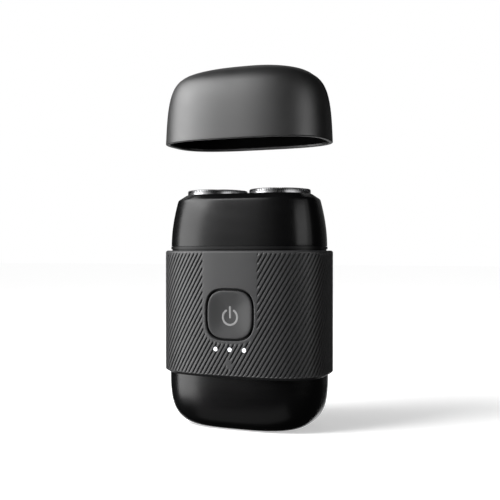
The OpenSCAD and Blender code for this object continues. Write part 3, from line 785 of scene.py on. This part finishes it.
def power_button():
    """Squared-off key with a shallow dish, a rolled edge and a round stem behind it."""
    half, front, back, tip = BUTTON_HALF, BUTTON_LOW.y, BUTTON_LOW.y + 0.8, BUTTON_HIGH.y
    turn = np.linspace(0, 2 * math.pi, 128, endpoint=False)

    def ring(size, y):
        x, z = superellipse(turn, size, size, BUTTON_CORNER)
        return np.column_stack([x, np.full(len(turn), y), BUTTON_Z + z])

    face = [ring(half * share, front + button_face(share)) for share in np.linspace(0.02, 0.95, 30)]
    roll = 0.3
    edge = [ring(half - roll * (1 - math.sin(a)), front + roll * (1 - math.cos(a)))
            for a in np.radians(np.linspace(0, 90, 6))]
    rear = [ring(half, back - 0.1), ring(half - 0.1, back), ring(3, back)]
    key = solid("power_key", loft([*face, *edge, *rear]))
    stem = [(2.4, back - 0.2), (2.4, tip - 0.35), (2.2, tip - 0.05)]
    carve(key, turned(stem, 0, BUTTON_Z, 48, lying=True), operation="UNION")
    dress(key, "button", "button_grey", "power_button", sharp=40)


def ribbon(points, width, height):
    """A slim inlay with round ends that follows points on the button's face."""
    path = np.array(points, float)
    ahead = np.gradient(path, axis=0)
    ahead /= np.linalg.norm(ahead, axis=1, keepdims=True)
    across = np.column_stack([-ahead[:, 1], ahead[:, 0]])
    angles = np.radians(np.linspace(10, 80, 5))
    first = [(path[0] - ahead[0] * width / 2 * math.sin(a), across[0], math.cos(a)) for a in angles[::-1]]
    last = [(path[-1] + ahead[-1] * width / 2 * math.sin(a), across[-1], math.cos(a)) for a in angles]
    stations = [*first, *[(centre, side, 1.0) for centre, side in zip(path, across)], *last]
    rings = []
    for centre, side, share in stations:
        ring = []
        for a in np.radians(np.arange(0, 360, 45)):
            x, z = centre + side * width / 2 * share * math.cos(a)
            y = BUTTON_LOW.y + button_face(button_reach(x, z) / BUTTON_HALF) - height * share * math.sin(a)
            ring.append((x, y, BUTTON_Z + z))
        rings.append(np.array(ring))
    return loft(rings)


def power_symbol():
    """Generic on-off sign inlaid in the button: an open ring and a bar."""
    ring_r, gap, centre_z = 2.62, 33, -0.83
    bar_high, bar_low = 3.43, -0.07
    stroke, height = 0.7, 0.03
    turn = np.radians(np.linspace(gap, 360 - gap, 64))
    arc = [(ring_r * math.sin(a), centre_z + ring_r * math.cos(a)) for a in turn]
    bar = [(0, centre_z + z) for z in np.linspace(bar_high, bar_low, 14)]
    sign = solid("power_symbol", ribbon(arc, stroke, height), ribbon(bar, stroke, height))
    dress(sign, "button", "white_plastic", sharp=60, look="symbol_ink")


def status_lights():
    """Three domed light pins on one clear bar behind the housing's wall."""
    low, high = LIGHTS_LOW, LIGHTS_HIGH
    pin_r, bar_front = 0.7, -14.1
    pin = [(0.25, low.y), (0.48, low.y + 0.05), (0.63, low.y + 0.16), (pin_r, low.y + 0.34),
           (pin_r, bar_front + 0.2)]
    guide = solid("light_pins", block((low.x, high.x), (bar_front, high.y), (low.z, high.z)))
    carve(guide, *at_lights(pin, 32), operation="UNION")
    dress(guide, "body", "light_diffuser", "light_guide")


# ---- studio ----

CAMERA_TURN = 22.0
CAMERA_AWAY = 287.0
CAMERA_HEIGHT = 62.0
PAPER = 0.93
PAPER_GLOW = 0.45
FILL = 0.06
FLAGS = 0.012
DAYLIGHT = 2.5
DAYLIGHT_SPREAD = 28
PANELS_AWAY = 500
PANELS_HEIGHT = 75

# Light panels: bearing to the camera's right and rise above level in degrees, width, height, brightness.
PANELS = {
    "key": (-80, 4, 340, 500, 3.9),
    "key_high": (-84, 38, 420, 220, 4.0),
    "step_1": (-56, 7, 130, 380, 0.8),
    "step_2": (-42, 7, 120, 380, 0.39),
    "step_3": (-29, 7, 120, 380, 0.13),
    "overhead": (-50, 41, 190, 120, 3.0),
    "bounce": (-35, -45, 560, 260, 0.22),
    "strip": (38, 12, 330, 310, 1.35),
    "strip_side": (66, 12, 160, 310, 0.55),
    "rim": (158, 0, 260, 300, 0.2),
    "back": (-170, 40, 500, 300, 0.35),
    "back_low": (180, -30, 500, 220, 1.2),
}


def towards(bearing, rise):
    """Direction away from the shaver: degrees to the camera's right, and degrees above level."""
    a, e = math.radians(CAMERA_TURN + bearing), math.radians(rise)
    return Vector((math.sin(a) * math.cos(e), -math.cos(a) * math.cos(e), math.sin(e)))


def make_camera():
    """A level view from the front and a little to the right."""
    turn = math.radians(CAMERA_TURN)
    data = bpy.data.cameras.new("camera")
    data.sensor_width = 36
    data.lens = 57.6
    data.shift_x = 0.003
    data.shift_y = 0.001
    data.clip_start = 0.01
    camera = bpy.data.objects.new("camera", data)
    away = towards(0, 0) * CAMERA_AWAY
    camera.location = (away + Vector((0, 0, CAMERA_HEIGHT))) * MM
    camera.rotation_euler = (math.pi / 2, 0, turn)
    bpy.context.scene.collection.objects.link(camera)
    bpy.context.scene.camera = camera


def softbox(name, bearing, rise, width, height, radiance):
    """A rectangular light aimed at the shaver's middle; radiance is how bright its face looks."""
    data = bpy.data.lights.new(name, "AREA")
    data.shape = "RECTANGLE"
    data.size = width * MM
    data.size_y = height * MM
    data.energy = radiance * math.pi * data.size * data.size_y
    direction = towards(bearing, rise)
    light = bpy.data.objects.new(name, data)
    light.location = (Vector((0, 0, PANELS_HEIGHT)) + direction * PANELS_AWAY) * MM
    light.rotation_euler = direction.to_track_quat("Z", "Y").to_euler()
    bpy.context.scene.collection.objects.link(light)


def window_light():
    """Broad daylight from the upper left, which draws the shadow on the paper but no highlights."""
    data = bpy.data.lights.new("daylight", "SUN")
    data.energy = DAYLIGHT
    data.angle = math.radians(DAYLIGHT_SPREAD)
    light = bpy.data.objects.new("daylight", data)
    light.rotation_euler = towards(-70, 42).to_track_quat("Z", "Y").to_euler()
    light.visible_glossy = False
    bpy.context.scene.collection.objects.link(light)


def make_world():
    """White paper to the camera, a soft even fill, and dark to reflections, as with black flags."""
    world = bpy.data.worlds.new("studio")
    world.use_nodes = True
    nodes, links = world.node_tree.nodes, world.node_tree.links
    nodes.clear()
    path = nodes.new("ShaderNodeLightPath")
    shaders = []
    for strength in (FILL, FLAGS, 1.0):
        shader = nodes.new("ShaderNodeBackground")
        shader.inputs["Color"].default_value = (1, 1, 1, 1)
        shader.inputs["Strength"].default_value = strength
        shaders.append(shader.outputs[0])
    result = shaders[0]
    for ray, shader in (("Is Glossy Ray", shaders[1]), ("Is Camera Ray", shaders[2])):
        mix = nodes.new("ShaderNodeMixShader")
        links.new(path.outputs[ray], mix.inputs[0])
        links.new(result, mix.inputs[1])
        links.new(shader, mix.inputs[2])
        result = mix.outputs[0]
    output = nodes.new("ShaderNodeOutputWorld")
    links.new(result, output.inputs[0])
    bpy.context.scene.world = world


def make_floor():
    """Large sheet of matt white paper under the shaver."""
    half = 3000
    corners = [(-half, -half, 0), (half, -half, 0), (half, half, 0), (-half, half, 0)]
    mesh = bpy.data.meshes.new("paper")
    mesh.from_pydata([tuple(value * MM for value in corner) for corner in corners], [], [(0, 1, 2, 3)])
    floor = bpy.data.objects.new("paper", mesh)
    bpy.context.scene.collection.objects.link(floor)
    material = surface("paper", (PAPER,) * 3, 0.95, shine=0.1)
    shader = material.node_tree.nodes["Principled BSDF"]
    shader.inputs["Emission Color"].default_value = (1, 1, 1, 1)
    shader.inputs["Emission Strength"].default_value = PAPER_GLOW
    emboss(material, noise(material, 0.8, 2), 0.01)
    mesh.materials.append(material)
    floor.visible_glossy = False
    floor.visible_diffuse = False
    floor.visible_shadow = False


def make_studio():
    """Camera, white surroundings, floor and lights."""
    make_camera()
    make_world()
    make_floor()
    window_light()
    for name, settings in PANELS.items():
        softbox(name, *settings)
    bpy.context.scene.view_settings.view_transform = "Standard"


def dress_frame():
    """Gives each CAD node the look of the material slot that it was packed with."""
    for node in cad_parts.values():
        for place in node.material_slots:
            place.material = LOOKS[place.material.name.split(".")[0]]


make_studio()
dress_frame()
protective_cap()
head_shell()
guards()
deck()
grip_sleeve()
housing()
power_button()
power_symbol()
status_lights()
